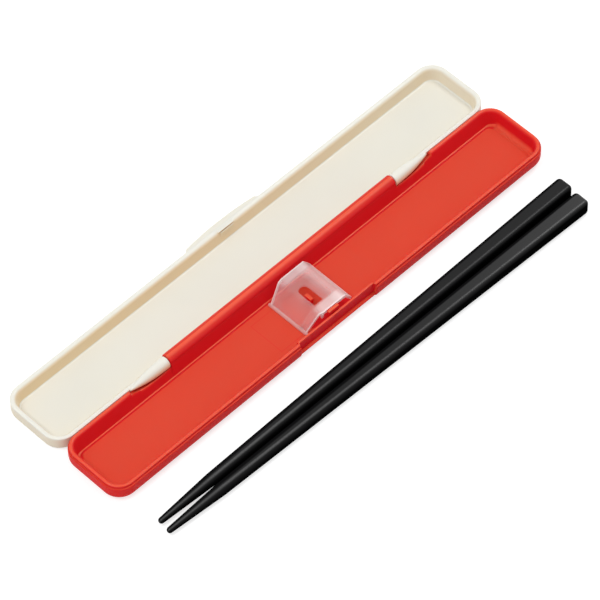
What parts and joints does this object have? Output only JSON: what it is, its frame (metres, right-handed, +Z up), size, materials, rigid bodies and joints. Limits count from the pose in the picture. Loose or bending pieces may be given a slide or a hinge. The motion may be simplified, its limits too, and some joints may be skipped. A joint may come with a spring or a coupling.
{
  "type": "portable chopstick case",
  "caption": "Slim hinged plastic travel case lying open, with a tray, a lid on stub pins, a translucent leaf spring inside and a pair of tapered chopsticks beside it.",
  "frame": {"origin": "on the table, under the middle of the tray's flat bottom", "axes": "+X along the case, +Y from the tray's front wall to the hinge and the open lid, +Z up"},
  "size_m": [0.19, 0.079, 0.009],
  "materials": {
    "tray_red": "satin moulded",
    "lid_cream": "satin moulded",
    "spring_clear": "translucent moulded",
    "stick_black": "satin moulded"
  },
  "bodies": {
    "tray_body": {"tray": "tray_red"},
    "lid_body": {"lid": "lid_cream"},
    "spring_body": {"leaf_spring": "spring_clear"},
    "chopstick_1_body": {"chopstick_1": "stick_black"},
    "chopstick_2_body": {"chopstick_2": "stick_black"}
  },
  "joints": [
    {"name": "lid_hinge", "type": "hinge", "parent": "tray_body", "child": "lid_body", "pos_m": [0, 0.0131, 0.00658], "axis": [1, 0, 0], "range_deg": [0, 180]},
    {"name": "spring_flex", "type": "hinge", "parent": "tray_body", "child": "spring_body", "pos_m": [-0.0095, 0, 0.00145], "axis": [0, 1, 0], "range_deg": [0, 8], "stiffness_Nm_per_rad": 0.05},
    {"name": "chopstick_1_lift", "type": "slide", "parent": "tray_body", "child": "chopstick_1_body", "axis": [0, 0, 1], "range_m": [0, 0.05]},
    {"name": "chopstick_2_lift", "type": "slide", "parent": "tray_body", "child": "chopstick_2_body", "axis": [0, 0, 1], "range_m": [0, 0.05]}
  ]
}
